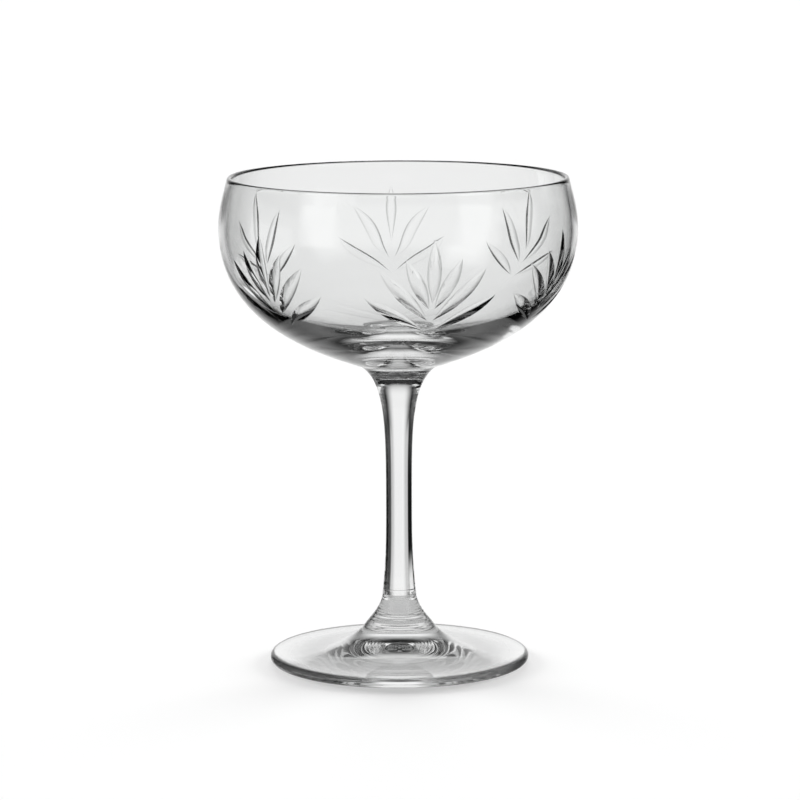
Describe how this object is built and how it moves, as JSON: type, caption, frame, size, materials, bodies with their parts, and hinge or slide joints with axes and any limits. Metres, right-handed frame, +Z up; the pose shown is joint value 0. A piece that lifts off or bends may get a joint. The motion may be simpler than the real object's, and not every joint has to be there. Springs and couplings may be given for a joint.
{
  "type": "cocktail glass",
  "caption": "Clear stemmed coupe with a rounded bowl cut with fans of leaf grooves, a waisted stem and a round foot, for serving cocktails.",
  "frame": {"origin": "on the table, under the middle of the foot", "axes": "+Z up along the stem, -Y towards the viewer of the picture"},
  "size_m": [0.0862, 0.0862, 0.1183],
  "materials": {
    "bowl_glass": "clear blown glass, fire-polished, with polished wheel-cut leaves",
    "stem_glass": "clear drawn glass, fire-polished",
    "foot_glass": "clear pressed glass, fire-polished"
  },
  "bodies": {
    "root": {"bowl": "bowl_glass", "stem": "stem_glass", "foot": "foot_glass"}
  },
  "joints": []
}
